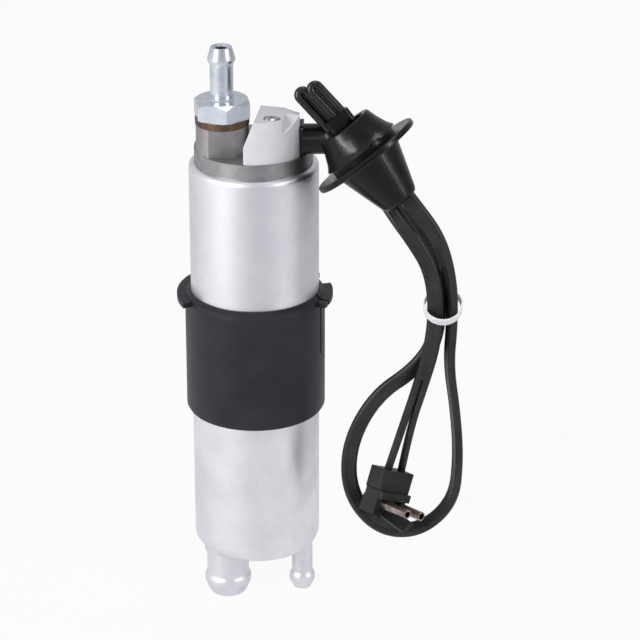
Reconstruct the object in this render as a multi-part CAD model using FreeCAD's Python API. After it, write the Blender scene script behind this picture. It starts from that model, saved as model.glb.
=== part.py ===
import FreeCAD, Part
import math
import os

# electric fuel pump in millimetres: +Z up along the pump axis, origin at the middle of the mounting sleeve

os.makedirs("parts", exist_ok=True)
V = FreeCAD.Vector
UP = V(0, 0, 1)

# clearances, and a block larger than the pump for cutting
seat_gap = 0.05
guide_gap = 0.1
rotor_gap = 0.04
shaft_gap = 0.04
big = 150.0

# casing
can_r = 21.5
can_wall = 1.2
can_bottom = -73.7
can_corner_r = 5.0
lip_top = 66.8
lip_corner_r = 1.8
lip_r = 19.65

# pump and motor stack, heights from the bottom up
stack_r = can_r - can_wall - 0.1
inlet_z = -72.45
port_z = -62.5
ring_z = -59.5
bearing_z = -51.5
motor_z = -48.0
seal_r = stack_r - 0.75
seal_wire = 0.78
top_seal_z = 59.8
holder_z = 44.0
skirt_z = 56.0
plate_z = 66.0
cap_top = 72.1

# shaft and the gear pump
shaft_r = 3.0
shaft_bottom = -60.0
shaft_top = 64.5
flat_x = 2.5
eccentric = 1.0
eccentric_deg = 298.0
inner_lobes = 6
rolling_r = 0.5
outer_rotor_r = 11.0
pocket_r = 11.05

# suction stub and return stub
suction_x = -10.2
suction_y = -5.5
suction_tube_r = 7.25
suction_bore_r = 5.75
suction_crest_r = 8.0
return_x = 15.6
return_y = -3.0
return_tube_r = 3.6
return_bore_r = 2.2
return_crest_r = 4.4
stub_end = -91.0
suction_deg = 208.3

# relief valve in the return stub
relief_bottom = -70.0
relief_chamber_r = 2.9
passage_r = 1.6

# motor
armature_r = 13.0
magnet_in_r = armature_r + 0.6
flux_in_r = stack_r - 2.0
magnet_out_r = flux_in_r - seat_gap
stator_bottom = -34.0
stator_top = 32.0
core_bottom = -30.0
core_top = 28.0
slots = 8
slot_ring_r = 9.2
slot_r = 2.6
bar_r = 2.4
commutator_z = 41.0
brush_at = 10.0
brush_half = 2.5
spring_top = 58.0
brush_top = spring_top - 8.0

# outlet
outlet_x = -10.0
outlet_y = -4.6
tower_r = 8.7
tower_top = 81.5
valve_seat = 69.5
shank_r = 6.0
hex_z = 84.0
hex_top = 89.9
hex_flat = 17.0
outlet_tip = 107.5
outlet_r = 3.8
outlet_bore_r = 2.0
outlet_crest_r = 4.55
chamber_r = 4.0
chamber_top = 82.0

# terminal cover and its screw
cover_r = 19.05
cover_top = 86.6
cover_wall = 1.6
cover_right = 15.3
screw_x = 6.4
screw_y = -14.3
screw_r = 1.25
head_z = 85.35
head_r = 2.52
pin_a_x = 4.5
pin_b_x = 8.5
lead_r = 0.9
lead_half = 1.1

# boot, splice block, grommet
boot_y = -8.0
boot_z = 77.2
boot_r = 5.0
neck_r = 2.7
boot_bore_r = 2.05
grommet_at = V(29.6, -12.0, 82.7)
grommet_axis = V(0.610, -0.190, -0.769).normalize()
cap_axis = V(0.681, -0.165, -0.7125).normalize()
cap_across = V(-0.72, -0.281, -0.630).normalize()
cap_leg_r = 1.4
cap_half = 1.5
cap_web = 1.6
cap_solid = 2.5
cap_height = 11.0
cap_depth = 5.0
splice_a_at = V(23.80, -10.26, 84.51)
splice_b_at = V(27.8, -12.0, 87.05)

# cable
wire_r = 1.35
bundle_at = V(62.4, -16.9, 21.7)
bundle_axis = V(0.0, -0.574, 0.819).normalize()
bundle_in_r = 5.95
bundle_out_r = 6.5
bundle_height = 3.4

# mounting sleeve
sleeve_in_r = 21.55
sleeve_r = 23.5
sleeve_low = -21.7
sleeve_high = 21.6
collar_r = 26.2
collar_low = 18.4
collar_high = 20.2

# cable plug, in its own directions: contacts along x, width along y, wires leave along z
plug_at = V(46.6, -15.85, -39.3)
plug_x = V(0.667, -0.738, 0.063).normalize()
plug_up = V(0.275, 0.325, 0.905)
plug_half = 7.6
plug_front = 3.5
plug_height = 7.3
contact_y = 3.5
contact_z = -11.75
contact_r = 1.55
contact_bore_r = 1.1
contact_tip = 15.2


def save(name, shape):
    solids = shape.Solids
    whole = solids[0] if len(solids) == 1 else Part.makeCompound(solids)
    whole.exportStep("parts/" + name + ".step")
    print(name, "solids", len(solids), "volume", round(whole.Volume, 2), "valid", whole.isValid())


def cyl(r, z0, z1, x=0.0, y=0.0):
    return Part.makeCylinder(r, z1 - z0, V(x, y, z0))


def tube(r_out, r_in, z0, z1, x=0.0, y=0.0):
    return cyl(r_out, z0, z1, x, y).cut(cyl(r_in, z0 - 1, z1 + 1, x, y))


def box(x0, x1, y0, y1, z0, z1):
    return Part.makeBox(x1 - x0, y1 - y0, z1 - z0, V(x0, y0, z0))


def lathe(profile, x=0.0, y=0.0):
    points = [V(x + r, y, z) for r, z in profile]
    face = Part.Face(Part.makePolygon(points + points[:1]))
    return face.revolve(V(x, y, 0), UP, 360)


def prism(outline, z0, z1):
    points = [V(x, y, z0) for x, y in outline]
    face = Part.Face(Part.makePolygon(points + points[:1]))
    return face.extrude(V(0, 0, z1 - z0))


def sector(r_out, r_in, z0, z1, middle_deg, half_deg):
    wedge = Part.makeCylinder(r_out, z1 - z0, V(0, 0, z0), UP, 2 * half_deg)
    wedge = wedge.cut(cyl(r_in, z0 - 1, z1 + 1))
    wedge.rotate(V(0, 0, 0), UP, middle_deg - half_deg)
    return wedge


def half_space(point, normal):
    block = Part.makeBox(big, big, big, V(-big / 2, -big / 2, 0))
    block.Placement = FreeCAD.Placement(point, FreeCAD.Rotation(UP, normal))
    return block


def aimed(shape, point, axis):
    shape.Placement = FreeCAD.Placement(point, FreeCAD.Rotation(UP, axis))
    return shape


def round_ring(shape, radius, z):
    edges = [e for e in shape.Edges if abs(e.BoundBox.ZMin - z) < 0.01 and abs(e.BoundBox.ZMax - z) < 0.01]
    return shape.makeFillet(radius, edges)


def coil(x, y, z0, z1, mean_r, wire, turns):
    height = z1 - z0 - 2 * wire - 0.1
    path = Part.makeHelix(height / turns, height, mean_r)
    ring = Part.Wire([Part.makeCircle(wire, V(mean_r, 0, 0), V(0, 1, height / turns / (2 * math.pi * mean_r)))])
    spring = path.makePipeShell([ring], True, True)
    spring.translate(V(x, y, z0 + wire + 0.05))
    return spring


# casing: deep-drawn can with round holes for the stubs, its rim rolled over the end cap
def casing():
    outer = round_ring(cyl(can_r, can_bottom, lip_top), can_corner_r, can_bottom)
    outer = round_ring(outer, lip_corner_r, lip_top)
    inner = cyl(can_r - can_wall, can_bottom + can_wall, lip_top - can_wall)
    inner = round_ring(inner, can_corner_r - can_wall, can_bottom + can_wall)
    can = outer.cut(inner).cut(cyl(lip_r, lip_top - 3, lip_top + 1))
    can = can.cut(cyl(suction_tube_r + 0.9, can_bottom - 1, can_bottom + 2, suction_x, suction_y))
    can = can.cut(cyl(return_tube_r + 0.15, can_bottom - 1, can_bottom + 6, return_x, return_y))
    save("casing", can)


# inlet cover: die-cast disc with the suction stub, the return stub and the relief valve chamber
def inlet_cover():
    disc = round_ring(cyl(stack_r, inlet_z, port_z), can_corner_r - can_wall, inlet_z)
    s = suction_tube_r
    c = suction_crest_r
    e = stub_end
    suction = lathe([(0, inlet_z + 3), (s + 0.75, inlet_z + 3), (s + 0.75, -74.5), (s, -75.0), (s, e + 7.8),
                     (c, e + 6.1), (c, e + 4.3), (c - 0.7, e + 2.4), (c - 1.4, e + 0.8), (c - 2.0, stub_end),
                     (0, stub_end)], suction_x, suction_y)
    t = return_tube_r
    k = return_crest_r
    outlet = lathe([(0, -70.5), (t, -70.5), (t, e + 6.7), (k, e + 4.7), (k, e + 2.8), (k - 1.1, e + 0.7),
                    (k - 1.3, stub_end), (0, stub_end)], return_x, return_y)
    cover = disc.fuse(suction).fuse(outlet)
    cover = cover.cut(cyl(suction_bore_r, stub_end - 1, port_z - 2, suction_x, suction_y))
    cover = cover.cut(cyl(7.0, port_z - 4, port_z + 1, -8.2, -4.4))
    cover = cover.cut(sector(7.8, 5.2, port_z - 2, port_z + 1, suction_deg, 60))
    cover = cover.cut(cyl(return_bore_r, stub_end - 1, port_z, return_x, return_y))
    cover = cover.cut(cyl(relief_chamber_r, relief_bottom, port_z + 1, return_x, return_y))
    save("inlet_cover", cover.removeSplitter())


def passage(z0, z1):
    return cyl(passage_r, z0, z1, return_x, return_y)


# the three plates of the gear pump, with the suction and delivery kidneys on opposite sides
def pump_plates():
    port = cyl(stack_r, port_z, ring_z).cut(passage(port_z - 1, ring_z + 1))
    port = port.cut(sector(7.8, 5.2, port_z - 1, ring_z + 1, suction_deg, 60))
    port = port.cut(cyl(shaft_r + 0.5, shaft_bottom - 0.5, ring_z + 1))
    save("port_plate", port)
    away = math.radians(eccentric_deg)
    ex = eccentric * math.cos(away)
    ey = eccentric * math.sin(away)
    ring = cyl(stack_r, ring_z, bearing_z).cut(passage(ring_z - 1, bearing_z + 1))
    ring = ring.cut(cyl(pocket_r, ring_z - 1, bearing_z + 1, ex, ey))
    save("pump_ring", ring)
    plate = cyl(stack_r, bearing_z, motor_z).cut(passage(bearing_z - 1, motor_z + 1))
    plate = plate.cut(sector(8.0, 5.8, bearing_z - 1, motor_z + 1, suction_deg - 180, 60))
    plate = plate.cut(cyl(4.6, bearing_z - 1, motor_z + 1))
    middle = (bearing_z + motor_z) / 2
    plate = plate.cut(tube(stack_r + 1, seal_r - seal_wire - 0.02, middle - 0.8, middle + 0.8))
    save("bearing_plate", plate)
    save("lower_bearing", tube(4.6, shaft_r + shaft_gap, bearing_z, motor_z))
    save("bottom_seal", Part.makeTorus(seal_r, seal_wire, V(0, 0, middle)))
    save("top_seal", Part.makeTorus(seal_r, seal_wire, V(0, 0, top_seal_z)))


# one closed outline of a cycloidal rotor, set in or out by a small offset along its own normal
def rotor_outline(lobes, offset, z):
    pitch_r = lobes * 2 * rolling_r
    start = math.radians(eccentric_deg + 180)
    steps = 12
    points = []
    for lobe in range(lobes):
        for half in (0, 1):
            first = start + (2 * lobe + half) * math.pi / lobes
            side = 1 if half else -1
            centre_r = pitch_r + side * rolling_r
            for k in range(steps):
                roll = 2 * math.pi * k / steps
                a = first + roll * rolling_r / pitch_r
                spin = a + side * roll
                x = centre_r * math.cos(a) - side * rolling_r * math.cos(spin)
                y = centre_r * math.sin(a) - side * rolling_r * math.sin(spin)
                if k == 0:
                    tx = side * math.cos(a)
                    ty = side * math.sin(a)
                else:
                    grow = rolling_r / pitch_r
                    tx = -centre_r * grow * math.sin(a) + side * rolling_r * (grow + side) * math.sin(spin)
                    ty = centre_r * grow * math.cos(a) - side * rolling_r * (grow + side) * math.cos(spin)
                size = math.hypot(tx, ty)
                points.append(V(x - offset * ty / size, y + offset * tx / size, z))
    curve = Part.BSplineCurve()
    curve.interpolate(points, True)
    return Part.Face(Part.Wire([curve.toShape()]))


# gear pump rotors: six lobes on the shaft's flat, running in seven hollows
def rotors():
    low = ring_z + rotor_gap
    high = bearing_z - rotor_gap
    inner = rotor_outline(inner_lobes, rotor_gap, low).extrude(V(0, 0, high - low))
    bore = cyl(shaft_r + 0.03, low - 1, high + 1).cut(box(flat_x + 0.03, 5, -5, 5, low - 2, high + 2))
    save("inner_rotor", inner.cut(bore))
    hollow = rotor_outline(inner_lobes + 1, -rotor_gap, low - 1).extrude(V(0, 0, high - low + 2))
    outer = cyl(outer_rotor_r, low, high).cut(hollow)
    away = math.radians(eccentric_deg)
    outer.translate(V(eccentric * math.cos(away), eccentric * math.sin(away), 0))
    save("outer_rotor", outer)


# armature: shaft with a collar and a drive flat, core, windings, face commutator, thrust washer
def armature():
    shaft = lathe([(0, shaft_bottom), (2.6, shaft_bottom), (shaft_r, shaft_bottom + 0.4), (shaft_r, -46.95),
                   (4.2, -46.95), (4.2, -45.5), (shaft_r, -45.5), (shaft_r, shaft_top - 0.4),
                   (2.6, shaft_top), (0, shaft_top)])
    save("shaft", shaft.cut(box(flat_x, 5, -5, 5, shaft_bottom - 1, bearing_z - 0.2)))
    save("thrust_washer", tube(5.2, shaft_r, motor_z + seat_gap, -46.95))
    core = tube(armature_r, shaft_r, core_bottom, core_top)
    bars = []
    segments = []
    for k in range(slots):
        a = 2 * math.pi * (k + 0.5) / slots
        x = slot_ring_r * math.cos(a)
        y = slot_ring_r * math.sin(a)
        mouth = box(slot_ring_r, armature_r + 1, -0.9, 0.9, core_bottom - 1, core_top + 1)
        mouth.rotate(V(0, 0, 0), UP, math.degrees(a))
        core = core.cut(cyl(slot_r, core_bottom - 1, core_top + 1, x, y)).cut(mouth)
        bars.append(cyl(bar_r, core_bottom - 4, core_top + 4, x, y))
        segments.append(sector(13.2, 5.5, commutator_z - 1.2, commutator_z, 360.0 * k / slots, 21.0))
    save("laminations", core)
    low = round_ring(tube(12.2, 4.4, core_bottom - 6, core_bottom - seat_gap), 1.2, core_bottom - 6)
    high = round_ring(tube(12.2, 4.4, core_top + seat_gap, core_top + 6), 1.2, core_top + 6)
    save("windings", low.fuse(high).fuse(bars))
    hub = lathe([(shaft_r, 34.05), (5.0, 34.05), (5.0, 36.0), (13.0, 36.0), (13.0, commutator_z - 1.2),
                 (shaft_r, commutator_z - 1.2)])
    save("commutator_hub", hub)
    save("commutator_segments", Part.makeCompound(segments))


# stator: flux ring, two arc magnets and the two spring clips between them
def stator():
    save("flux_ring", tube(stack_r, flux_in_r, motor_z, holder_z))
    for name, deg in (("a", 90), ("b", 270)):
        save("magnet_" + name, sector(magnet_out_r, magnet_in_r, stator_bottom, stator_top, deg, 60))
    for name, deg in (("a", 0), ("b", 180)):
        clip = sector(magnet_out_r, magnet_out_r - 0.65, stator_bottom, stator_top, deg, 29.5)
        clip = clip.fuse(sector(magnet_out_r, magnet_in_r + 0.8, stator_bottom, stator_top, deg - 28.6, 0.9))
        clip = clip.fuse(sector(magnet_out_r, magnet_in_r + 0.8, stator_bottom, stator_top, deg + 28.6, 0.9))
        save("magnet_clip_" + name, clip)


# brush gear: moulded holder with two sprung carbon brushes on the commutator's face
def brush_gear():
    outer_half = brush_half + guide_gap + 1.0
    inner_half = brush_half + guide_gap
    holder = tube(stack_r - 0.1, stack_r - 1.9, holder_z, skirt_z).fuse(cyl(stack_r - 0.1, holder_z, holder_z + 3))
    for x in (-brush_at, brush_at):
        holder = holder.fuse(box(x - outer_half, x + outer_half, -outer_half, outer_half, holder_z, spring_top + 1))
    holder = holder.cut(cyl(5.4, holder_z - 1, spring_top + 2))
    for x in (-brush_at, brush_at):
        holder = holder.cut(box(x - inner_half, x + inner_half, -inner_half, inner_half, holder_z - 1, spring_top))
        holder = holder.cut(cyl(0.8, spring_top - 1, spring_top + 2, x, 0))
    for deg in (45, 135, 225, 315):
        a = math.radians(deg)
        holder = holder.cut(cyl(2.6, holder_z - 1, holder_z + 4, 13 * math.cos(a), 13 * math.sin(a)))
    save("brush_holder", holder.removeSplitter())
    for name, x in (("a", brush_at), ("b", -brush_at)):
        brush = box(x - brush_half, x + brush_half, -brush_half, brush_half, commutator_z + seat_gap, brush_top)
        save("brush_" + name, brush)
        save("brush_spring_" + name, coil(x, 0, brush_top, spring_top, 1.8, 0.25, 6))


# end cap: die-cast, with the shaft's top bearing, the outlet tower and the cover's screw post
def top_cap():
    cap = cyl(stack_r, skirt_z, lip_top - can_wall - seat_gap).fuse(cyl(lip_r - seat_gap, skirt_z, cap_top))
    cap = cap.cut(cyl(stack_r - 2.7, skirt_z - 1, plate_z))
    cap = cap.fuse(cyl(6.0, spring_top, plate_z + 1).cut(cyl(5.0, spring_top - 1, plate_z - 1)))
    tower = cyl(tower_r, cap_top - 1, tower_top, outlet_x, outlet_y)
    tower = tower.common(cyl(lip_r - seat_gap, cap_top - 2, tower_top + 1))
    tower = tower.cut(box(-25, 5, -25, -12.2, cap_top, tower_top + 1))
    post = cyl(2.6, cap_top - 1, 80.0, screw_x, screw_y).common(cyl(cover_r - cover_wall - seat_gap, 70, 81))
    cap = cap.fuse(tower).fuse(post)
    cap = cap.cut(cyl(shank_r + seat_gap, valve_seat, tower_top + 1, outlet_x, outlet_y))
    cap = cap.cut(cyl(2.5, plate_z - 1, valve_seat + 1, outlet_x, outlet_y))
    cap = cap.cut(cyl(screw_r, cap_top + 1.4, 81.0, screw_x, screw_y))
    cap = cap.cut(tube(stack_r + 1, seal_r - seal_wire - 0.07, top_seal_z - 0.8, top_seal_z + 0.8))
    for x, y in ((pin_a_x, boot_y + lead_half), (pin_b_x, boot_y - lead_half)):
        cap = cap.cut(cyl(1.8, plate_z, cap_top + 1, x, y))
    save("top_cap", cap.removeSplitter())
    save("upper_bearing", tube(5.0, shaft_r + shaft_gap, spring_top, plate_z - 1))


# terminal pins with crimp barrels, in moulded insulators, and the two pump leads
def terminals():
    pins = (("a", pin_a_x, boot_y + lead_half), ("b", pin_b_x, boot_y - lead_half))
    for name, x, y in pins:
        sleeve = cyl(1.8, plate_z, cap_top, x, y).fuse(cyl(2.2, cap_top, cap_top + 0.9, x, y))
        save("insulator_" + name, sleeve.cut(cyl(1.0, plate_z - 1, cap_top + 2, x, y)).removeSplitter())
        barrel = Part.makeCylinder(lead_r + 0.2, 3.9, V(x - 1.3, y, boot_z), V(1, 0, 0))
        pin = cyl(1.0, plate_z - 5, boot_z, x, y).fuse(barrel)
        pin = pin.cut(Part.makeCylinder(lead_r, 5, V(x + 0.3, y, boot_z), V(1, 0, 0)))
        save("terminal_pin_" + name, pin.removeSplitter())
        save("pump_lead_" + name, Part.makeCylinder(lead_r, 24.0 - x - 0.3, V(x + 0.3, y, boot_z), V(1, 0, 0)))


# outlet nozzle: turned piece with hexagon, hose barb and a threaded shank that holds the check valve
def outlet():
    r = outlet_r
    c = outlet_crest_r
    corner = hex_flat / 2 / math.cos(math.radians(30))
    body = lathe([(0, valve_seat + 0.5), (shank_r, valve_seat + 0.5), (shank_r, hex_z), (corner - 0.5, hex_z),
                  (corner, hex_z + 0.3), (corner, hex_top - 1.0), (corner - 1.5, hex_top), (r + 0.5, hex_top),
                  (r, hex_top + 0.6), (r, outlet_tip - 6.0), (c, outlet_tip - 4.4), (c, outlet_tip - 3.6),
                  (r - 0.15, outlet_tip - 0.5), (r - 0.35, outlet_tip), (0, outlet_tip)], outlet_x, outlet_y)
    outline = []
    for k in range(6):
        a = math.radians(-79.6 + 60 * k)
        outline.append((outlet_x + corner * math.cos(a), outlet_y + corner * math.sin(a)))
    keep = prism(outline, hex_z, hex_top).fuse(cyl(tower_r, valve_seat, hex_z, outlet_x, outlet_y))
    keep = keep.fuse(cyl(tower_r, hex_top, outlet_tip + 1, outlet_x, outlet_y))
    body = body.common(keep)
    body = body.cut(cyl(outlet_bore_r, valve_seat, outlet_tip + 1, outlet_x, outlet_y))
    body = body.cut(cyl(chamber_r, valve_seat, chamber_top, outlet_x, outlet_y))
    mouth = V(outlet_x, outlet_y, outlet_tip - 0.6)
    body = body.cut(Part.makeCone(outlet_bore_r, outlet_bore_r + 0.7, 0.7, mouth))
    save("outlet_nozzle", body.removeSplitter())
    save("sealing_washer", tube(8.9, shank_r + 0.1, tower_top, hex_z, outlet_x, outlet_y))


# check valve: flat poppet on the tower's seat, guided by four ribs, with its spring
def check_valve():
    x = outlet_x
    y = outlet_y
    poppet = cyl(3.4, valve_seat + 0.02, valve_seat + 1.3, x, y).fuse(cyl(1.4, valve_seat + 1, 77.0, x, y))
    ribs = box(x - 5, x + 5, y - 0.6, y + 0.6, 70.6, 75.5).fuse(box(x - 0.6, x + 0.6, y - 5, y + 5, 70.6, 75.5))
    poppet = poppet.fuse(ribs.common(cyl(chamber_r - 0.05, 70, 76, x, y)))
    save("check_poppet", poppet.removeSplitter())
    save("check_spring", coil(x, y, 75.5, chamber_top, 3.2, 0.3, 5))


# relief valve: flat-topped piston closing the passage from below, with its spring
def relief_valve():
    x = return_x
    y = return_y
    disc = cyl(relief_chamber_r - 0.05, port_z - 2.2, port_z - 0.02, x, y)
    for deg in (30, 150, 270):
        cut = box(2.2, 4, -4, 4, port_z - 3, port_z + 1)
        cut.rotate(V(0, 0, 0), UP, deg)
        cut.translate(V(x, y, 0))
        disc = disc.cut(cut)
    save("relief_piston", disc.fuse(cyl(1.5, port_z - 5, port_z - 2, x, y)).removeSplitter())
    save("relief_spring", coil(x, y, relief_bottom, port_z - 2.2, 2.4, 0.25, 4))


# white terminal cover: a hollow moulding whose sides, ramp and slant are cut as flat faces
def cover_block(inset, low, high):
    block = cyl(cover_r - inset, low, high)
    sides = (((-2.9, -18.8), (-0.989, 0.147)), ((-0.3, -1.3), (0.277, 0.961)), ((10.1, -4.3), (0.687, 0.726)),
             ((cover_right, 0.0), (1.0, 0.0)))
    for (px, py), (nx, ny) in sides:
        block = block.cut(half_space(V(px - inset * nx, py - inset * ny, cap_top), V(nx, ny, 0)))
    slant = V(-0.93, 0.12, 0.363).normalize()
    block = block.cut(half_space(V(-2.9, -18.8, 78.0) - slant * inset, slant))
    ramp = V(-0.08, -0.63, 0.77).normalize()
    corner = V(10.85, -10.6, cover_top)
    wedge = prism([(10.85, -10.6), (25.0, -8.8), (25.0, -30.0), (6.8, -30.0)], 70, 95)
    wedge = wedge.common(half_space(corner - ramp * inset, ramp))
    return block.cut(wedge)


def terminal_cover():
    cover = cover_block(0.0, cap_top, cover_top)
    cover = cover.fuse(box(9.6, cover_right, -11.3, -3.4, cap_top, 83.0))
    hollow = cover_block(cover_wall, cap_top - 1, cover_top - cover_wall)
    hollow = hollow.fuse(box(8.0, cover_right - cover_wall, -9.7, -5.0, cap_top - 1, 83.0 - cover_wall))
    boss = cyl(4.2, 80.05, cover_top, screw_x, screw_y).common(cyl(cover_r, 70, 90))
    boss = boss.common(cover_block(0.0, cap_top, cover_top))
    cover = cover.cut(hollow).fuse(boss)
    cover = cover.cut(cyl(head_r + 0.35, head_z - seat_gap, cover_top + 1, screw_x, screw_y))
    cover = cover.cut(cyl(screw_r + 0.15, 79.0, head_z, screw_x, screw_y))
    slot = neck_r + seat_gap
    cover = cover.cut(box(13.0, 16.0, boot_y - slot, boot_y + slot, cap_top - 1, boot_z))
    cover = cover.cut(Part.makeCylinder(slot, 3.0, V(13.0, boot_y, boot_z), V(1, 0, 0)))
    save("terminal_cover", cover.removeSplitter())


def cover_screw():
    r = head_r
    z = head_z
    head = lathe([(0, z), (r, z), (r, z + 0.75), (r - 0.35, z + 1.2), (r - 1.1, z + 1.6), (0, z + 1.7)],
                 screw_x, screw_y)
    screw = head.fuse(cyl(screw_r, 74.6, z + 0.1, screw_x, screw_y))
    for half_x, half_y in ((1.5, 0.35), (0.35, 1.5)):
        screw = screw.cut(box(screw_x - half_x, screw_x + half_x, screw_y - half_y, screw_y + half_y, z + 0.8, z + 2))
    save("cover_screw", screw.removeSplitter())


# splice block of the boot, square to the grommet's axis
def splice_block(grow):
    block = Part.makeBox(9.2 + 2 * grow, 8.4 + 2 * grow, 11.6 + grow, V(-4.6 - grow, -4.2 - grow, -4.65 - grow))
    upright = [e for e in block.Edges if abs(e.Vertexes[0].Z - e.Vertexes[1].Z) > 5]
    block = block.makeFillet(1.6, upright)
    side = V(0.79, 0.25, 0.56)
    side = (side - grommet_axis * side.dot(grommet_axis)).normalize()
    depth = grommet_axis.cross(side)
    turn = FreeCAD.Rotation(side, depth, grommet_axis, "ZXY")
    block.Placement = FreeCAD.Placement(grommet_at, turn)
    return block


# outer skin of the boot's tube: straight part, round elbow, and the run into the splice block
def boot_tube(grow):
    r = boot_r + grow
    elbow = V(25.6, boot_y, boot_z)
    into = grommet_at + grommet_axis * 2.4
    skin = Part.makeCylinder(r, elbow.x - 16.0, V(16.0, boot_y, boot_z), V(1, 0, 0))
    skin = skin.fuse(Part.makeSphere(r, elbow))
    leg = into - elbow
    return skin.fuse(Part.makeCylinder(r, leg.Length, elbow, leg))


# splice cap: two legs bent round into each other at the top, with a web between them
def splice_cap(base, grow):
    r = cap_leg_r + grow
    h = cap_half
    low = -cap_depth - grow
    rise = Part.LineSegment(V(-h, 0, low), V(-h, 0, cap_height)).toShape()
    bend = Part.Arc(V(-h, 0, cap_height), V(0, 0, cap_height + h), V(h, 0, cap_height)).toShape()
    fall = Part.LineSegment(V(h, 0, cap_height), V(h, 0, low)).toShape()
    ring = Part.Wire([Part.makeCircle(r, V(-h, 0, low), UP)])
    cap = Part.Wire([rise, bend, fall]).makePipeShell([ring], True, False)
    half = cap_web / 2 + grow
    cap = cap.fuse(box(-h, h, -half, half, low, cap_height + h))
    cap = cap.fuse(box(-h, h, -0.97 * r, 0.97 * r, cap_height - cap_solid, cap_height + 0.5))
    turn = FreeCAD.Rotation(cap_across, cap_across.cross(cap_axis), cap_axis * -1.0, "ZXY")
    cap.Placement = FreeCAD.Placement(base, turn)
    return cap


# boot and grommet: rubber mouldings that carry the leads out of the cover and through a panel
def rubber_boot():
    boot = boot_tube(0.0).fuse(splice_block(0.0))
    plate = box(cover_right + seat_gap, 16.65, -12.3, -3.5, 72.3, 82.9)
    flat = [e for e in plate.Edges if abs(e.Vertexes[0].X - e.Vertexes[1].X) > 1]
    boot = boot.fuse(plate.makeFillet(1.5, flat))
    boot = boot.fuse(Part.makeCylinder(neck_r, 5.0, V(12.85, boot_y, boot_z), V(1, 0, 0)))
    boot = boot.fuse(box(12.85, cover_right - cover_wall - seat_gap, -9.5, -5.2, 73.6, 81.0))
    boot = boot.cut(Part.makeCylinder(boot_bore_r, 14.0, V(10.0, boot_y, boot_z), V(1, 0, 0)))
    for name, base in (("a", splice_a_at), ("b", splice_b_at)):
        boot = boot.cut(splice_cap(base, seat_gap))
        save("splice_cap_" + name, splice_cap(base, 0.0).removeSplitter())
    save("cable_boot", boot.removeSplitter())


def grommet():
    profile = [(0, 7), (8.3, 7), (7.4, 0), (9.0, -0.2), (9.5, 0.2), (10.5, 3.5), (12.0, 7.0), (13.3, 8.9), (12.0, 8.9),
               (12.0, 10.7), (18.4, 10.7), (18.8, 11.1), (18.8, 12.3), (18.4, 12.7), (11.7, 12.7), (6.6, 29.0),
               (5.9, 30.2), (5.0, 30.6), (0, 30.6)]
    body = aimed(lathe(profile), grommet_at, grommet_axis)
    body = body.cut(boot_tube(0.3))
    for side in (1, -1):
        start, after = wire_points(side)[:2]
        body = body.cut(Part.makeCylinder(wire_r + guide_gap, 30, start, after - start))
    save("grommet", body.removeSplitter())


# route of the wire pair: middle of the pair, then half the step across to the outer wire
pair_route = [
    (44.8, -15.7, 67.1, 1.12, 0.25, 0.8),
    (51.9, -17.9, 58.2, 1.16, 0.16, 0.88),
    (60.6, -18.0, 46.6, 1.1, -0.84, 0.53),
    (65.0, -17.2, 31.5, 0.68, -1.2, 0.06),
    (65.6, -16.75, 16.0, 0.59, -1.24, -0.02),
    (64.6, -16.9, 0.5, 0.49, -1.28, 0.03),
    (67.2, -17.0, -16.5, 0.44, -1.3, 0.05),
    (68.6, -17.0, -34.0, 0.49, -1.28, 0.0),
    (67.3, -17.0, -51.0, 0.51, -1.27, -0.24),
    (55.8, -17.0, -62.4, 0.23, -1.28, -0.63),
    (41.8, -17.0, -61.2, -0.58, -0.88, -1.04),
    (31.9, -17.0, -48.0, -1.31, -0.45, -0.46),
    (31.4, -17.0, -29.5, -1.38, -0.17, 0.31),
    (40.3, -16.2, -11.5, -1.01, -0.38, 0.93),
    (54.2, -14.3, -2.2, -1.17, -0.64, 1.18),
    (60.9, -13.9, 9.0, -1.36, -0.2, 0.37),
    (60.9, -15.2, 29.0, -1.37, -0.04, -0.16),
    (58.0, -8.0, 39.5, -1.29, -0.21, -0.49),
    (52.8, 1.6, 44.3, -1.09, -0.27, -0.81),
    (46.0, 8.5, 49.6, -1.03, -0.2, -0.89),
    (39.9, 5.0, 57.6, -1.05, -0.18, -0.87),
    (40.2, -5.4, 60.4, -1.1, -0.15, -0.81),
    (46.2, -13.5, 53.0, -1.13, -0.25, -0.74),
    (52.5, -16.6, 45.0, -1.14, 0.01, -0.79),
    (58.2, -18.1, 35.6, -1.29, 0.28, -0.49),
    (60.25, -18.1, 22.5, -1.37, 0.3, -0.06),
    (59.2, -18.4, 8.0, -1.37, 0.31, 0.22),
    (55.3, -17.6, -7.5, -1.3, -0.2, 0.34),
    (51.0, -16.6, -22.5, -1.9, -1.4, 0.4),
    (46.6, -15.4, -42.2, -2.4, -2.05, 1.45),
]


def wire_points(side):
    return [V(x + side * dx, y + side * dy, z + side * dz) for x, y, z, dx, dy, dz in pair_route]


# one cord: straight runs joined by tangent arcs
def cord(points, radius):
    edges = []
    start = points[0]
    tightest = 1000.0
    for k in range(1, len(points) - 1):
        before = points[k] - points[k - 1]
        after = points[k + 1] - points[k]
        setback = 0.45 * min(before.Length, after.Length)
        turn = before.getAngle(after)
        before.normalize()
        after.normalize()
        bend = setback / math.tan(turn / 2)
        tightest = min(tightest, bend)
        enter = points[k] - before * setback
        leave = points[k] + after * setback
        inward = (after - before).normalize()
        middle = points[k] + inward * (bend / math.cos(turn / 2) - bend)
        edges.append(Part.LineSegment(start, enter).toShape())
        edges.append(Part.Arc(enter, middle, leave).toShape())
        start = leave
    edges.append(Part.LineSegment(start, points[-1]).toShape())
    path = Part.Wire(edges)
    ring = Part.Wire([Part.makeCircle(radius, points[0], points[1] - points[0])])
    solid = path.makePipeShell([ring], True, False)
    share = solid.Volume / (math.pi * radius * radius * path.Length)
    print("cord length", round(path.Length, 1), "tightest radius", round(tightest, 2), "volume share", round(share, 4))
    return solid


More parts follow.
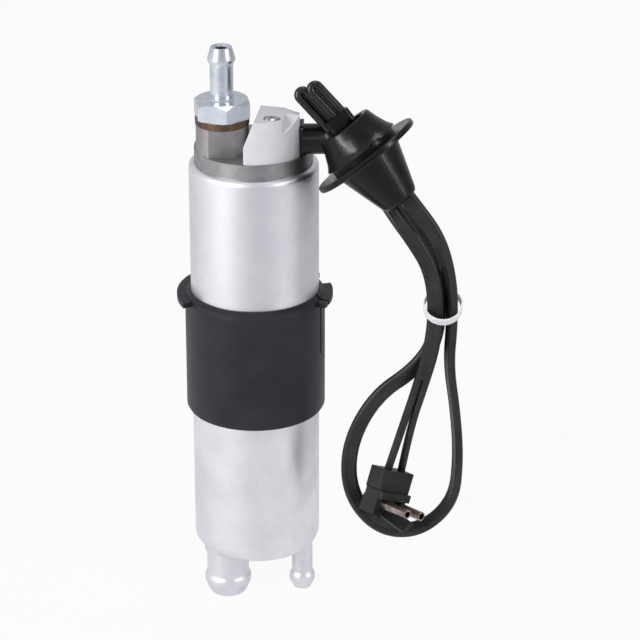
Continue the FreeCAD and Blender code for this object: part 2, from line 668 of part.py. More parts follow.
# cable: two wires from the grommet, down and up and down through the bundle ring, to the plug
def cable():
    save("wire_a", cord(wire_points(1), wire_r))
    save("wire_b", cord(wire_points(-1), wire_r))
    h = bundle_height / 2
    band = tube(bundle_out_r, bundle_in_r, -h, h)
    save("bundle_ring", aimed(band, bundle_at, bundle_axis))


def plug_frame(shape):
    width = plug_up.cross(plug_x).normalize()
    upright = plug_x.cross(width)
    shape.Placement = FreeCAD.Placement(plug_at, FreeCAD.Rotation(plug_x, width, upright, "ZXY"))
    return shape


# two-pole right-angled plug: block, lip, contact wall, side wall and guard, with two tubular contacts
def plug():
    top = box(-plug_front, plug_front, -plug_half, plug_half, -plug_height, 0.0)
    corners = [e for e in top.Edges if e.Length < plug_height + 0.1]
    top = top.makeFillet(0.9, corners)
    lip = box(-3.3, 5.3, -7.3, 7.3, -9.9, -plug_height)
    upright = [e for e in lip.Edges if e.Length < 3.0]
    lip = lip.makeFillet(0.9, upright)
    wall = box(-3.3, 3.4, -7.0, 7.0, contact_z - contact_r - 0.6, -9.9)
    side = box(-3.3, 3.4, -7.3, -2.3, -15.6, -9.9)
    guard = Part.makePolygon([V(2.5, -3.0, -15.5), V(2.5, -2.1, -16.3), V(2.5, 1.5, -12.9), V(2.5, 0.6, -12.1),
                              V(2.5, -3.0, -15.5)])
    guard = Part.Face(guard).extrude(V(12.0, 0, -2.3))
    body = top.fuse(lip).fuse(wall).fuse(side).fuse(guard)
    for y in (-contact_y, contact_y):
        body = body.cut(Part.makeCylinder(contact_r, 20, V(-2.0, y, contact_z), V(1, 0, 0)))
    body = plug_frame(body.removeSplitter())
    for side in (1, -1):
        before, last = wire_points(side)[-2:]
        body = body.cut(Part.makeCylinder(wire_r, (last - before).Length, before, last - before))
    save("cable_plug", body.removeSplitter())
    for name, y in (("a", -contact_y), ("b", contact_y)):
        pin = Part.makeCylinder(contact_r, contact_tip + 2.0, V(-2.0, y, contact_z), V(1, 0, 0))
        pin = pin.cut(Part.makeCylinder(contact_bore_r, contact_tip, V(4.0, y, contact_z), V(1, 0, 0)))
        save("contact_" + name, plug_frame(pin))


# mounting sleeve: rubber, with a collar round the back and a slit
def mounting_sleeve():
    body = lathe([(sleeve_in_r, sleeve_low), (22.0, sleeve_low), (22.9, sleeve_low + 0.4),
                  (sleeve_r, sleeve_low + 1.5), (sleeve_r, collar_low), (23.3, collar_low + 0.4), (23.2, 20.5),
                  (21.9, sleeve_high), (sleeve_in_r, sleeve_high)])
    for middle, half in ((-6.0, 20.0), (120.0, 86.0)):
        body = body.fuse(sector(collar_r, sleeve_in_r + 0.5, collar_low, collar_high, middle, half))
    slit = box(20, 30, -0.5, 0.5, 0.5, 30)
    slit.rotate(V(0, 0, 0), UP, -19.7)
    save("mounting_sleeve", body.cut(slit).removeSplitter())


casing()
inlet_cover()
pump_plates()
rotors()
armature()
stator()
brush_gear()
top_cap()
terminals()
outlet()
check_valve()
relief_valve()
terminal_cover()
cover_screw()
rubber_boot()
grommet()
cable()
plug()
mounting_sleeve()
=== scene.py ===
import math

import bmesh
import bpy
from mathutils import Matrix, Vector


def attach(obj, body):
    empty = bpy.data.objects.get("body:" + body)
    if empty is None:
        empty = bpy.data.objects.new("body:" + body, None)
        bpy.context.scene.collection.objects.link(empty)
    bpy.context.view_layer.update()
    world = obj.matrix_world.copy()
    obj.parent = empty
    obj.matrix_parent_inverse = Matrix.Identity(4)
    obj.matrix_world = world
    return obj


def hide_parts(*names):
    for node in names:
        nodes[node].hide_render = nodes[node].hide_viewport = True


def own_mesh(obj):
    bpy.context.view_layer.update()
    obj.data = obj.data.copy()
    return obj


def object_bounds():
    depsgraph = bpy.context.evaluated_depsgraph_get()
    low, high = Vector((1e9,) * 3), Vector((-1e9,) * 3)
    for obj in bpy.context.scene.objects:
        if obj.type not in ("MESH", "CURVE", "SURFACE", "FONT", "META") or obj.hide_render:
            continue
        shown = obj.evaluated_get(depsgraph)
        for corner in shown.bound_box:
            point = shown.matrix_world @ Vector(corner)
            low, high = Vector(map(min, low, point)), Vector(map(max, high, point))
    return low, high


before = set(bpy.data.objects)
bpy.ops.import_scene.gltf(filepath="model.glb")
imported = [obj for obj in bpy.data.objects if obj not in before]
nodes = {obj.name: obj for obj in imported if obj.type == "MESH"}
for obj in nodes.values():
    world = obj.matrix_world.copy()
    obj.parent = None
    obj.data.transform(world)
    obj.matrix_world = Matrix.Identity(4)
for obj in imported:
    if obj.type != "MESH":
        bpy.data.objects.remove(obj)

# The view. The photograph looks at the standing pump from in front and 24 degrees above, through a long
# lens, so that its sides run nearly parallel. Sizes in this file are millimetres, and MM turns them to metres.
MM = 0.001
cad_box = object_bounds()
scene = bpy.context.scene
scene.view_settings.view_transform = "Standard"
lens = bpy.data.cameras.new("long_lens")
lens.lens = 158.2
lens.sensor_width = 36.0
lens.clip_end = 20.0
eye = bpy.data.objects.new("long_lens", lens)
eye.location = (21.83 * MM, -866.95 * MM, 395.14 * MM)
eye.rotation_euler = (math.radians(66.0), 0.0, 0.0)
scene.collection.objects.link(eye)
scene.camera = eye


# Cable plug: a right-angled two-pole plug moulded in black glass-filled nylon, which is matt and greyish,
# with a lip over the contacts and a guard under them. The two contacts are rolled bronze tubes, nickelled
# and rubbed dull. A grain finer than 0.25 mm doesn't show at 3 pixels a millimetre, and is drawn that coarse.
WELD = 0.002 * MM
FLAT_WITHIN = math.radians(0.5)
EDGE_FROM = math.radians(34.0)


def srgb(text):
    channels = [int(text[k:k + 2], 16) / 255 for k in (0, 2, 4)]
    return [c / 12.92 if c < 0.04045 else ((c + 0.055) / 1.055) ** 2.4 for c in channels] + [1.0]


def add_node(tree, kind, settings, links=()):
    node = tree.nodes.new(kind)
    for name, value in settings.items():
        if isinstance(name, int) or name in node.inputs:
            node.inputs[name].default_value = value
        else:
            setattr(node, name, value)
    for name, source in dict(links).items():
        tree.links.new(source, node.inputs[name])
    return node


def worn_finish(name, fresh, worn, patch_mm, rough, grain_mm, relief_mm, stretch=(1.0, 1.0, 1.0), **settings):
    material = bpy.data.materials.new(name)
    material.use_nodes = True
    tree = material.node_tree
    shader = tree.nodes["Principled BSDF"]
    for key, value in settings.items():
        shader.inputs[key.replace("_", " ")].default_value = value
    place = add_node(tree, "ShaderNodeTexCoord", {})
    patch = add_node(tree, "ShaderNodeTexNoise", {"Scale": 1000.0 / patch_mm, "Detail": 4.0, "Roughness": 0.6},
                     {"Vector": place.outputs["Object"]})
    rubbed = add_node(tree, "ShaderNodeMapRange", {"From Min": 0.35, "From Max": 0.7},
                      {"Value": patch.outputs[0]})
    tone = add_node(tree, "ShaderNodeMix", {"data_type": "RGBA", 6: srgb(fresh), 7: srgb(worn)},
                    {0: rubbed.outputs[0]})
    gloss = add_node(tree, "ShaderNodeMapRange",
                     {"From Min": 0.3, "From Max": 0.7, "To Min": rough[0], "To Max": rough[1]},
                     {"Value": patch.outputs[0]})
    along = add_node(tree, "ShaderNodeMapping", {"Scale": stretch}, {"Vector": place.outputs["Object"]})
    grain = add_node(tree, "ShaderNodeTexNoise", {"Scale": 1000.0 / grain_mm, "Detail": 3.0},
                     {"Vector": along.outputs[0]})
    skin = add_node(tree, "ShaderNodeBump", {"Distance": relief_mm * MM, "Strength": 0.5},
                    {"Height": grain.outputs[0]})
    tree.links.new(tone.outputs[2], shader.inputs["Base Color"])
    tree.links.new(gloss.outputs[0], shader.inputs["Roughness"])
    tree.links.new(skin.outputs[0], shader.inputs["Normal"])
    return material


def dress(finish, *names):
    for name in names:
        nodes[name].data.materials.clear()
        nodes[name].data.materials.append(finish)


def merged_copy(node, flat=True):
    bm = bmesh.new()
    bm.from_mesh(nodes[node].data)
    bmesh.ops.remove_doubles(bm, verts=bm.verts, dist=WELD)
    if flat:
        bmesh.ops.dissolve_limit(bm, angle_limit=FLAT_WITHIN, verts=bm.verts, edges=bm.edges)
    return bm


def soften(bm, width_mm, angle=35.0, segments=2):
    sharp = [e for e in bm.edges if len(e.link_faces) == 2 and e.calc_face_angle(0.0) > math.radians(angle)]
    bmesh.ops.bevel(bm, geom=sharp, offset=width_mm * MM, offset_type="OFFSET", affect="EDGES",
                    segments=segments, profile=0.5, material=-1, clamp_overlap=True)


def to_piece(name, bm, finish, slot, *stands_for):
    bmesh.ops.remove_doubles(bm, verts=bm.verts, dist=WELD)
    bmesh.ops.recalc_face_normals(bm, faces=bm.faces)
    for face in bm.faces:
        face.smooth = True
    mesh = bpy.data.meshes.new(name)
    bm.to_mesh(mesh)
    bm.free()
    mesh.set_sharp_from_angle(angle=EDGE_FROM)
    mesh.materials.append(finish)
    piece = bpy.data.objects.new(name, mesh)
    scene.collection.objects.link(piece)
    flats = piece.modifiers.new("flat_faces_stay_flat", "WEIGHTED_NORMAL")
    flats.keep_sharp = True
    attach(piece, "housing")
    if stands_for:
        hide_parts(*stands_for)
    return piece


plug_nylon = worn_finish("moulded_black_nylon", fresh="1b1b1d", worn="262629", patch_mm=7.0,
                         rough=(0.46, 0.6), grain_mm=0.4, relief_mm=0.04, IOR=1.5, Specular_IOR_Level=0.35)
bm = merged_copy("cable_plug")
soften(bm, width_mm=0.35)
to_piece("two_pole_plug", bm, plug_nylon, "black_plastic", "cable_plug")
nickel = worn_finish("rubbed_nickel_on_bronze", fresh="b3a49d", worn="77655c", patch_mm=2.5,
                     rough=(0.26, 0.42), grain_mm=0.3, relief_mm=0.02, stretch=(1.0, 1.0, 0.4), Metallic=1.0)
dress(nickel, "contact_a", "contact_b")


# Bundle ring: a short band of natural nylon tube, cut off square, that holds the runs of the cable
# together. Nylon is milky, and its cut edges catch the light.
ring_nylon = worn_finish("cut_natural_nylon", fresh="f4f4f4", worn="e8e8ea", patch_mm=5.0, rough=(0.38, 0.5),
                         grain_mm=0.4, relief_mm=0.03, IOR=1.53, Subsurface_Weight=0.1,
                         Subsurface_Scale=0.002)
bm = merged_copy("bundle_ring")
soften(bm, width_mm=0.2)
to_piece("nylon_ring", bm, ring_nylon, "nylon", "bundle_ring")


# Two-core flat cable: two stranded copper cores in extruded black vinyl, joined by a web that fills the
# groove between them, so that the cable is a smooth ribbon. The web is slit near the plug. A route point is
# the middle between the cores, and half of the way from one core to the other.
vinyl = worn_finish("extruded_black_vinyl", fresh="202022", worn="2e2e31", patch_mm=9.0, rough=(0.32, 0.46),
                    grain_mm=0.6, relief_mm=0.02, stretch=(1.0, 1.0, 0.3), IOR=1.52, Specular_IOR_Level=0.3)
WIRE_WIDTH = 2.7
WEB_THICKNESS = 2.5
WEB_SHARE = 0.94
PAIR_ROUTE = [
    (44.8, -15.7, 67.1, 1.12, 0.25, 0.8),
    (51.9, -17.9, 58.2, 1.16, 0.16, 0.88),
    (60.6, -18.0, 46.6, 1.1, -0.84, 0.53),
    (65.0, -17.2, 31.5, 0.68, -1.2, 0.06),
    (65.6, -16.75, 16.0, 0.59, -1.24, -0.02),
    (64.6, -16.9, 0.5, 0.49, -1.28, 0.03),
    (67.2, -17.0, -16.5, 0.44, -1.3, 0.05),
    (68.6, -17.0, -34.0, 0.49, -1.28, 0.0),
    (67.3, -17.0, -51.0, 0.51, -1.27, -0.24),
    (55.8, -17.0, -62.4, 0.23, -1.28, -0.63),
    (41.8, -17.0, -61.2, -0.58, -0.88, -1.04),
    (31.9, -17.0, -48.0, -1.31, -0.45, -0.46),
    (31.4, -17.0, -29.5, -1.38, -0.17, 0.31),
    (40.3, -16.2, -11.5, -1.01, -0.38, 0.93),
    (54.2, -14.3, -2.2, -1.17, -0.64, 1.18),
    (60.9, -13.9, 9.0, -1.36, -0.2, 0.37),
    (60.9, -15.2, 29.0, -1.37, -0.04, -0.16),
    (58.0, -8.0, 39.5, -1.29, -0.21, -0.49),
    (52.8, 1.6, 44.3, -1.09, -0.27, -0.81),
    (46.0, 8.5, 49.6, -1.03, -0.2, -0.89),
    (39.9, 5.0, 57.6, -1.05, -0.18, -0.87),
    (40.2, -5.4, 60.4, -1.1, -0.15, -0.81),
    (46.2, -13.5, 53.0, -1.13, -0.25, -0.74),
    (52.5, -16.6, 45.0, -1.14, 0.01, -0.79),
    (58.2, -18.1, 35.6, -1.29, 0.28, -0.49),
    (60.25, -18.1, 22.5, -1.37, 0.3, -0.06),
    (59.2, -18.4, 8.0, -1.37, 0.31, 0.22),
    (55.3, -17.6, -7.5, -1.3, -0.2, 0.34),
    (51.0, -16.6, -22.5, -1.3, -0.5, 0.35),
    (46.6, -15.4, -42.2, -2.4, -2.05, 1.45),
]
WIRES = (("a", 1, (51.2, -17.1, 61.3), 422.4), ("b", -1, (48.9, -17.6, 59.7), 422.0))


def core_line(letter, side):
    line = bpy.data.curves.new("cable_wire_" + letter, "CURVE")
    line.dimensions = "3D"
    line.resolution_u = 12
    line.use_fill_caps = True
    spline = line.splines.new("NURBS")
    spline.points.add(len(PAIR_ROUTE) - 1)
    for point, (x, y, z, dx, dy, dz) in zip(spline.points, PAIR_ROUTE):
        point.co = ((x + side * dx) * MM, (y + side * dy) * MM, (z + side * dz) * MM, 1.0)
    spline.order_u = 3
    spline.use_endpoint_u = True
    return line


def web_between(first, second):
    bm = bmesh.new()
    last = None
    for k in range(1, int(WEB_SHARE * len(first))):
        across = (second[k] - first[k]).normalized()
        out = across.cross(first[k + 1] - first[k - 1]).normalized() * WEB_THICKNESS / 2 * MM
        corners = [bm.verts.new(place) for place in
                   (first[k] + out, second[k] + out, second[k] - out, first[k] - out)]
        loop = [bm.edges.new((corners[n - 1], corners[n])) for n in range(4)]
        if last:
            bmesh.ops.bridge_loops(bm, edges=last + loop)
        else:
            bm.faces.new(corners)
        last = loop
    bm.faces.new(corners)
    return bm


wires = []
lines = []
for letter, side, leaves, length in WIRES:
    line = core_line(letter, side)
    wire = bpy.data.objects.new("cable_wire_" + letter, line)
    scene.collection.objects.link(wire)
    lines.append([v.co.copy() for v in bpy.data.meshes.new_from_object(wire).vertices])
    line.bevel_depth = WIRE_WIDTH / 2 * MM
    line.bevel_resolution = 6
    line.materials.append(vinyl)
    wires.append(wire)
to_piece("cable_web", web_between(*lines), vinyl, "wire_jacket")
for wire, (letter, side, leaves, length) in zip(wires, WIRES):
    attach(wire, "housing")
    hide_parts("wire_" + letter)


# Studio: a pale floor that reaches past the view, and soft lamps left, right and above, as for a product
# photograph. Metal shows a painted reflection: glossy rays alone see the surround and the floor round it
# toned, brightest at the left and dimmer in front and at the right, and even close to the object.
FLOOR_REACH = 6.0
FLOOR_GAP = 0.1
FLOOR_GLOW = 0.93
# Painted reflection: tones that only glossy rays see, even on the floor near the object and banded all round.
EVEN_FLOOR_REFLECTION = "eeeef1"
PAINTED_REFLECTION_TONES = ((0.0, "f2f2f5"), (0.06, "fafafc"), (0.12, "f4f4f7"), (0.18, "dcdce0"), (0.25, "c6c6cb"),
              (0.31, "c8c8cd"), (0.40, "e4e4e8"), (0.46, "d4d4d8"), (0.53, "b2b2b8"), (0.58, "b6b6bc"),
              (0.65, "cacace"), (0.78, "d6d6da"), (0.90, "e0e0e4"), (1.0, "f2f2f5"))


# Painted reflection: a ring of tones round the object, brightest at the left, seen by glossy rays only.
def painted_reflection_tone(tree, place):
    round_it = add_node(tree, "ShaderNodeTexGradient", {"gradient_type": "RADIAL"}, {"Vector": place})
    ramp = add_node(tree, "ShaderNodeValToRGB", {}, {0: round_it.outputs["Fac"]})
    stops = ramp.color_ramp.elements
    stops.remove(stops[1])
    stops[0].position = PAINTED_REFLECTION_TONES[0][0]
    stops[0].color = srgb(PAINTED_REFLECTION_TONES[0][1])
    for position, colour in PAINTED_REFLECTION_TONES[1:]:
        stops.new(position).color = srgb(colour)
    return ramp.outputs["Color"]


def studio_floor():
    bm = bmesh.new()
    bmesh.ops.create_grid(bm, x_segments=2, y_segments=2, size=FLOOR_REACH)
    bmesh.ops.translate(bm, verts=bm.verts, vec=(0, 0, cad_box[0][2] - FLOOR_GAP * MM))
    mesh = bpy.data.meshes.new("studio_floor")
    bm.to_mesh(mesh)
    bm.free()
    floor = bpy.data.objects.new("studio_floor", mesh)
    scene.collection.objects.link(floor)
    material = bpy.data.materials.new("matt_white_paint")
    material.use_nodes = True
    tree = material.node_tree
    tree.nodes.clear()
    path = add_node(tree, "ShaderNodeLightPath", {})
    place = add_node(tree, "ShaderNodeTexCoord", {})
    paint = add_node(tree, "ShaderNodeBsdfDiffuse", {"Color": srgb("e9e9ea")})
    white = add_node(tree, "ShaderNodeEmission", {"Color": srgb("ffffff"), "Strength": 1.0})
    reach = add_node(tree, "ShaderNodeVectorMath", {"operation": "LENGTH"}, {0: place.outputs["Object"]})
    far = add_node(tree, "ShaderNodeMapRange", {"From Min": 0.12, "From Max": 0.3},
                   {"Value": reach.outputs["Value"]})
    # Painted reflection on the floor: glossy rays see these tones, while the camera sees plain white.
    shade = add_node(tree, "ShaderNodeMix", {"data_type": "RGBA", 6: srgb(EVEN_FLOOR_REFLECTION)},
                     {0: far.outputs[0], 7: painted_reflection_tone(tree, place.outputs["Object"])})
    toned = add_node(tree, "ShaderNodeEmission", {"Strength": 1.0}, {"Color": shade.outputs[2]})
    glow = add_node(tree, "ShaderNodeMixShader", {},
                    {0: path.outputs["Is Glossy Ray"], 1: white.outputs[0], 2: toned.outputs[0]})
    seen = add_node(tree, "ShaderNodeMath", {"operation": "MAXIMUM"},
                    {0: path.outputs["Is Camera Ray"], 1: path.outputs["Is Glossy Ray"]})
    also = add_node(tree, "ShaderNodeMath", {"operation": "MAXIMUM"},
                    {0: seen.outputs[0], 1: path.outputs["Is Transmission Ray"]})
    share = add_node(tree, "ShaderNodeMath", {"operation": "MULTIPLY", 1: FLOOR_GLOW}, {0: also.outputs[0]})
    both = add_node(tree, "ShaderNodeMixShader", {},
                    {0: share.outputs[0], 1: paint.outputs[0], 2: glow.outputs[0]})
    add_node(tree, "ShaderNodeOutputMaterial", {}, {"Surface": both.outputs[0]})
    mesh.materials.append(material)


def surround():
    world = bpy.data.worlds.new("studio_surround")
    scene.world = world
    world.use_nodes = True
    tree = world.node_tree
    tree.nodes.clear()
    path = add_node(tree, "ShaderNodeLightPath", {})
    place = add_node(tree, "ShaderNodeTexCoord", {})
    parts = add_node(tree, "ShaderNodeSeparateXYZ", {}, {0: place.outputs["Generated"]})
    ceiling = add_node(tree, "ShaderNodeMapRange", {"From Min": 0.1, "To Min": 0.6, "To Max": 0.12},
                       {"Value": parts.outputs["Z"]})
    fill = add_node(tree, "ShaderNodeBackground", {"Color": srgb("e4e6ea")}, {"Strength": ceiling.outputs[0]})
    white = add_node(tree, "ShaderNodeBackground", {"Color": srgb("ffffff"), "Strength": 1.0})
    # Painted reflection in the surround: glossy rays see these tones in place of the fill, which lights the
    # scene.
    mirrored = add_node(tree, "ShaderNodeBackground", {"Strength": 0.85},
                        {"Color": painted_reflection_tone(tree, place.outputs["Generated"])})
    seen = add_node(tree, "ShaderNodeMath", {"operation": "MAXIMUM"},
                    {0: path.outputs["Is Camera Ray"], 1: path.outputs["Is Transmission Ray"]})
    lit = add_node(tree, "ShaderNodeMixShader", {},
                   {0: path.outputs["Is Glossy Ray"], 1: fill.outputs[0], 2: mirrored.outputs[0]})
    both = add_node(tree, "ShaderNodeMixShader", {},
                    {0: seen.outputs[0], 1: lit.outputs[0], 2: white.outputs[0]})
    add_node(tree, "ShaderNodeOutputWorld", {}, {"Surface": both.outputs[0]})


def softbox(name, place, width, height, watts):
    lamp = bpy.data.lights.new(name, "AREA")
    lamp.shape = "RECTANGLE"
    lamp.size = width
    lamp.size_y = height
    lamp.energy = watts
    stand = bpy.data.objects.new(name, lamp)
    stand.location = place
    stand.rotation_euler = (-Vector(place)).to_track_quat("-Z", "Y").to_euler()
    scene.collection.objects.link(stand)


studio_floor()
surround()
softbox("left_softbox", place=(-0.9, -0.8, 0.5), width=0.18, height=0.9, watts=12.0)
softbox("right_softbox", place=(1.0, -0.6, 0.45), width=0.1, height=0.8, watts=5.0)
softbox("top_softbox", place=(0.1, 0.2, 1.2), width=0.4, height=0.4, watts=2.5)


# Casing: a deep-drawn aluminium can, its rim rolled over the end cap. Drawing leaves a satin skin with
# faint lengthwise scratches and soft cloudy patches.
drawn_aluminium = worn_finish("drawn_aluminium", fresh="f0eff3", worn="dfdee3", patch_mm=14.0,
                              rough=(0.38, 0.47), grain_mm=1.2, relief_mm=0.014, stretch=(1.0, 1.0, 0.06),
                              Metallic=1.0)
dress(drawn_aluminium, "casing")


# Mounting sleeve: a thick band of black EPDM rubber pushed over the can, with a collar round its back
# and a slit at one side. Moulded rubber is dull and dark grey, paler where it is dusty and rubbed.
sleeve_rubber = worn_finish("moulded_epdm", fresh="1e1e23", worn="29292e", patch_mm=14.0, rough=(0.4, 0.52),
                            grain_mm=0.5, relief_mm=0.05, IOR=1.5, Specular_IOR_Level=0.3)
bm = merged_copy("mounting_sleeve")
soften(bm, width_mm=0.35)
to_piece("rubber_sleeve", bm, sleeve_rubber, "sleeve_rubber", "mounting_sleeve")


# End cap: a grey pressure die-casting with the outlet tower, clamped by the rolled rim. A casting has a
# dull, slightly grainy skin with darker patches where the mould ran cold.
die_casting = worn_finish("die_cast_aluminium", fresh="a8a6a7", worn="8e8c8d", patch_mm=7.0,
                          rough=(0.44, 0.56), grain_mm=0.45, relief_mm=0.05, Metallic=1.0)
bm = merged_copy("top_cap")
soften(bm, width_mm=0.3)
to_piece("end_cap", bm, die_casting, "diecast", "top_cap")


# Inlet cover: a casting like the end cap, with its two stubs. It was machined and tumbled, which leaves
# it pale, smooth and matt.
tumbled_casting = worn_finish("tumbled_die_casting", fresh="e6e5e9", worn="d9d8de", patch_mm=6.0,
                              rough=(0.42, 0.55), grain_mm=0.5, relief_mm=0.03, stretch=(0.2, 0.2, 1.0),
                              Metallic=1.0)
bm = merged_copy("inlet_cover")
soften(bm, width_mm=0.35)
to_piece("stub_casting", bm, tumbled_casting, "diecast", "inlet_cover")


# Outlet nozzle: turned from hexagon steel bar with a hose barb, then zinc plated and passivated, which
# leaves a bright, faintly blue skin with fine turning marks round it. The hexagon's chamfer keeps its edge.
CHAMFER_EDGE_FROM = math.radians(18.0)
blue_zinc = worn_finish("blue_zinc_plate", fresh="e4eaf1", worn="ccd4de", patch_mm=5.0, rough=(0.2, 0.28),
                        grain_mm=0.4, relief_mm=0.003, stretch=(0.15, 0.15, 1.0), Metallic=1.0)
nozzle = to_piece("hose_nozzle", merged_copy("outlet_nozzle"), blue_zinc, "zinc_plate", "outlet_nozzle")
nozzle.data.set_sharp_from_angle(angle=CHAMFER_EDGE_FROM)


# Sealing washer: a stamped copper ring, browned by handling and heat, duller in its pores.
browned_copper = worn_finish("browned_copper", fresh="7a6350", worn="564639", patch_mm=3.0,
                             rough=(0.36, 0.52), grain_mm=0.5, relief_mm=0.03, Metallic=1.0)
bm = merged_copy("sealing_washer")
soften(bm, width_mm=0.3, segments=3)
to_piece("copper_washer", bm, browned_copper, "copper", "sealing_washer")


# Terminal cover: a hollow injection moulding in natural white nylon, faintly see-through at thin edges,
# with a fine satin mould skin. One zinc-plated cross-head screw holds it.
white_nylon = worn_finish("moulded_white_nylon", fresh="dcdcdf", worn="d2d2d5", patch_mm=8.0,
                          rough=(0.4, 0.5), grain_mm=0.5, relief_mm=0.02, IOR=1.53, Subsurface_Weight=0.12,
                          Subsurface_Scale=0.002)
bm = merged_copy("terminal_cover")
soften(bm, width_mm=0.45, angle=30.0, segments=3)
to_piece("white_cover", bm, white_nylon, "white_plastic", "terminal_cover")
bright_zinc = worn_finish("bright_zinc_plate", fresh="cfd1d6", worn="a8aab0", patch_mm=2.0, rough=(0.12, 0.2),
                          grain_mm=0.3, relief_mm=0.004, Metallic=1.0)
bm = merged_copy("cover_screw")
soften(bm, width_mm=0.12)
to_piece("cross_head_screw", bm, bright_zinc, "steel", "cover_screw")


# Boot: one black rubber moulding that carries the crimped leads out of the cover. It is glossier than the
# sleeve, with a faint brownish bloom where the rubber has aged.
black_rubber = worn_finish("moulded_black_rubber", fresh="050506", worn="100b0b", patch_mm=12.0,
                           rough=(0.2, 0.34), grain_mm=0.6, relief_mm=0.03, IOR=1.5, Specular_IOR_Level=0.3)
to_piece("lead_boot", merged_copy("cable_boot", False), black_rubber, "black_rubber", "cable_boot")


# Splice caps: two folded caps that close the splices, pushed into the boot. Each is a thick leg bent back
# beside itself, with a thin web in the groove, moulded as one skin in the same rubber, browner and shinier.
cap_rubber = worn_finish("bloomed_black_rubber", fresh="120f10", worn="241c1c", patch_mm=4.0,
                         rough=(0.2, 0.32), grain_mm=0.6, relief_mm=0.03, IOR=1.5, Specular_IOR_Level=0.5)
CAP_LEG_RADIUS = 1.4
CAP_LEG_SHIFT = 1.5
CAP_BEND_HEIGHT = 11.0
CAP_LEG_LENGTH = 16.0
CAP_WEB = 0.9
CAP_VOXEL = 0.2
cap_up = Vector((-0.681, 0.165, 0.7125)).normalized()
cap_side = cap_up.cross(Vector((-0.72, -0.281, -0.63))).normalized()
cap_turn = Matrix((cap_side.cross(cap_up), cap_side, cap_up)).transposed()


def folded_cap(foot):
    bm = bmesh.new()
    bmesh.ops.create_circle(bm, cap_ends=False, segments=24, radius=CAP_LEG_RADIUS * MM)
    bmesh.ops.translate(bm, verts=bm.verts, vec=(-CAP_LEG_SHIFT * MM, 0, CAP_BEND_HEIGHT * MM))
    bmesh.ops.spin(bm, geom=bm.verts[:] + bm.edges[:], cent=(0, 0, CAP_BEND_HEIGHT * MM), axis=(0, 1, 0),
                   angle=math.pi, steps=14, use_merge=False)
    open_ends = [e for e in bm.edges if e.is_boundary]
    legs = bmesh.ops.extrude_edge_only(bm, edges=open_ends)["geom"]
    bmesh.ops.translate(bm, verts=[v for v in legs if isinstance(v, bmesh.types.BMVert)],
                        vec=(0, 0, -CAP_LEG_LENGTH * MM))
    bmesh.ops.holes_fill(bm, edges=[e for e in bm.edges if e.is_boundary])
    bmesh.ops.recalc_face_normals(bm, faces=bm.faces)
    web = bmesh.ops.create_cube(bm, size=1.0)["verts"]
    bmesh.ops.scale(bm, verts=web, vec=(2 * CAP_LEG_SHIFT * MM, CAP_WEB * MM, CAP_LEG_LENGTH * MM))
    bmesh.ops.translate(bm, verts=web, vec=(0, 0, (CAP_BEND_HEIGHT - CAP_LEG_LENGTH / 2) * MM))
    bmesh.ops.transform(bm, matrix=cap_turn.to_4x4(), verts=bm.verts)
    bmesh.ops.translate(bm, verts=bm.verts, vec=Vector(foot) * MM)
    return bm


for letter, foot in (("a", (23.80, -10.26, 84.51)), ("b", (27.8, -12.0, 87.05))):
    cap = to_piece("folded_cap_" + letter, folded_cap(foot), cap_rubber, "black_plastic",
                   "splice_cap_" + letter)
    cap.modifiers.clear()
    skin = cap.modifiers.new("one_moulded_skin", "REMESH")
    skin.mode = "VOXEL"
    skin.voxel_size = CAP_VOXEL * MM
    skin.use_smooth_shade = True
    rounding = cap.modifiers.new("rounded_by_the_mould", "SMOOTH")
    rounding.factor = 0.5
    rounding.iterations = 4


# Grommet: one moulding in the boot's rubber, with a cup, a groove for the panel, a wide flange and a long
# cone that ends round the cable.
bm = merged_copy("grommet")
soften(bm, width_mm=0.3, angle=30.0, segments=3)
to_piece("panel_grommet", bm, black_rubber, "black_rubber", "grommet")


# Gear pump: a lapped steel port plate and ring, a cast bearing plate, and two sintered steel rotors that
# run between them. Lapping leaves a fine even grey, and sintering open pores.
lapped_steel = worn_finish("lapped_steel", fresh="a9abae", worn="94969a", patch_mm=6.0, rough=(0.22, 0.32),
                           grain_mm=0.3, relief_mm=0.01, Metallic=1.0)
sintered_steel = worn_finish("sintered_steel", fresh="6f7074", worn="5a5b5f", patch_mm=4.0,
                             rough=(0.42, 0.56), grain_mm=0.25, relief_mm=0.04, Metallic=1.0)
dress(lapped_steel, "port_plate", "pump_ring")
dress(die_casting, "bearing_plate")
dress(sintered_steel, "inner_rotor", "outer_rotor")


# Shaft and bearings: a ground steel shaft with a thrust washer, in two oil-filled sintered bronze bushes.
ground_steel = worn_finish("ground_steel", fresh="c2c3c6", worn="a6a7ab", patch_mm=5.0, rough=(0.16, 0.26),
                           grain_mm=0.3, relief_mm=0.008, stretch=(0.2, 0.2, 1.0), Metallic=1.0)
oiled_bronze = worn_finish("oiled_sintered_bronze", fresh="a8835a", worn="866440", patch_mm=3.0,
                           rough=(0.3, 0.44), grain_mm=0.25, relief_mm=0.03, Metallic=1.0)
dress(ground_steel, "shaft", "thrust_washer")
dress(oiled_bronze, "lower_bearing", "upper_bearing")


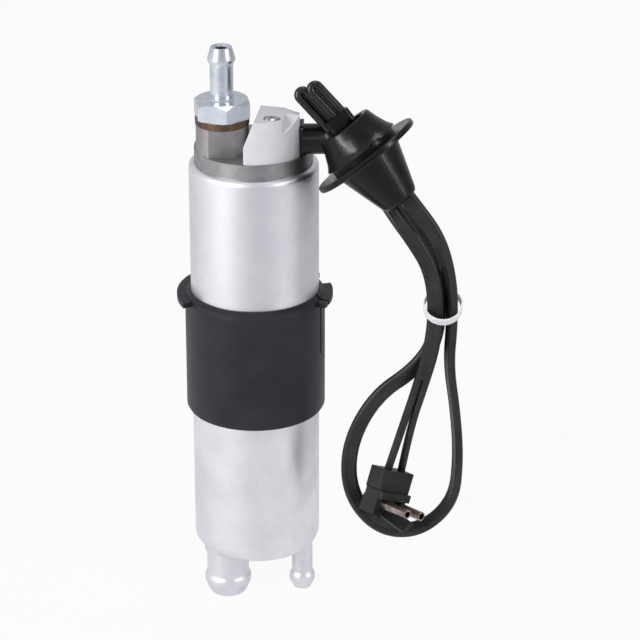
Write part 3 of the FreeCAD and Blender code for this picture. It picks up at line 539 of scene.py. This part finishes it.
# Armature: a stack of stamped electrical steel, its slots filled with enamelled copper wire, and a face
# commutator of copper segments in a brown phenolic hub. The stack's edges lie across the shaft.
stamped_steel = worn_finish("stamped_electrical_steel", fresh="6d7076", worn="54565b", patch_mm=5.0,
                            rough=(0.34, 0.46), grain_mm=0.5, relief_mm=0.06, stretch=(0.02, 0.02, 1.0),
                            Metallic=1.0)
enamelled_wire = worn_finish("enamelled_copper_wire", fresh="9c4a22", worn="7a3517", patch_mm=3.0,
                             rough=(0.24, 0.36), grain_mm=0.6, relief_mm=0.1, stretch=(1.0, 1.0, 0.1),
                             Metallic=0.7, Coat_Weight=0.6)
phenolic = worn_finish("moulded_brown_phenolic", fresh="3f2618", worn="2f1c12", patch_mm=4.0,
                       rough=(0.34, 0.46), grain_mm=0.3, relief_mm=0.02, IOR=1.6)
brush_copper = worn_finish("brush_worn_copper", fresh="b87350", worn="7d4c35", patch_mm=2.0, rough=(0.2, 0.4),
                           grain_mm=0.3, relief_mm=0.02, Metallic=1.0)
dress(stamped_steel, "laminations")
dress(enamelled_wire, "windings")
dress(phenolic, "commutator_hub")
dress(brush_copper, "commutator_segments")


# Stator: a rolled mild steel flux ring with two sintered ferrite arc magnets, pressed apart by two clips
# of blued spring steel. Ferrite is dull charcoal with chalky edges.
rolled_steel = worn_finish("rolled_mild_steel", fresh="7c7f84", worn="66686d", patch_mm=8.0,
                           rough=(0.36, 0.5), grain_mm=0.8, relief_mm=0.02, stretch=(1.0, 1.0, 0.1),
                           Metallic=1.0)
ferrite = worn_finish("sintered_ferrite", fresh="29292c", worn="3a3a3e", patch_mm=5.0, rough=(0.5, 0.66),
                      grain_mm=0.4, relief_mm=0.04, IOR=1.9)
spring_steel = worn_finish("blued_spring_steel", fresh="5d6068", worn="474a53", patch_mm=3.0,
                           rough=(0.24, 0.36), grain_mm=0.3, relief_mm=0.01, Metallic=1.0)
dress(rolled_steel, "flux_ring")
dress(ferrite, "magnet_a", "magnet_b")
dress(spring_steel, "magnet_clip_a", "magnet_clip_b")


# Brush gear: a holder in the plug's black glass-filled nylon, with two pressed carbon brushes, which are
# dark grey and polished where they slide.
carbon = worn_finish("pressed_carbon", fresh="1d1d1f", worn="2c2c2f", patch_mm=2.0, rough=(0.3, 0.5),
                     grain_mm=0.25, relief_mm=0.02, IOR=1.8)
dress(plug_nylon, "brush_holder")
dress(carbon, "brush_a", "brush_b")


# Terminals and valves: turned brass pins in phenolic insulators, with the two pump leads crimped on, and
# the brass poppet and piston of the two valves. Turned brass is warm and bright, dull where it has aged.
turned_brass = worn_finish("turned_brass", fresh="c3a566", worn="a0844a", patch_mm=3.0, rough=(0.2, 0.32),
                           grain_mm=0.3, relief_mm=0.01, stretch=(0.2, 0.2, 1.0), Metallic=1.0)
dress(phenolic, "insulator_a", "insulator_b")
dress(turned_brass, "terminal_pin_a", "terminal_pin_b", "check_poppet", "relief_piston")
dress(vinyl, "pump_lead_a", "pump_lead_b")


# Springs: four coils wound from blued spring steel wire, each pressing on a brush, the poppet or the piston.
BOTTOM, TOP = 0, 1
SPRINGS = (("brush_spring_a", "brush_a_slide", 2.0, TOP), ("brush_spring_b", "brush_b_slide", 2.0, TOP),
           ("check_spring", "check_valve_lift", 2.0, TOP), ("relief_spring", "relief_valve_drop", 1.5, BOTTOM))
for node, joint, travel, fixed_end in SPRINGS:
    coil = to_piece("wound_" + node, merged_copy(node, False), spring_steel, "steel", node)
    coil.modifiers.clear()
    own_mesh(coil)


# Seals: two moulded nitrile rings at the ends of the can, smooth, black and slightly swollen by fuel,
# which leaves a low even gloss.
nitrile = worn_finish("moulded_nitrile", fresh="111112", worn="1c1c1d", patch_mm=4.0, rough=(0.3, 0.42),
                      grain_mm=0.4, relief_mm=0.01, IOR=1.52)
dress(nitrile, "bottom_seal", "top_seal")
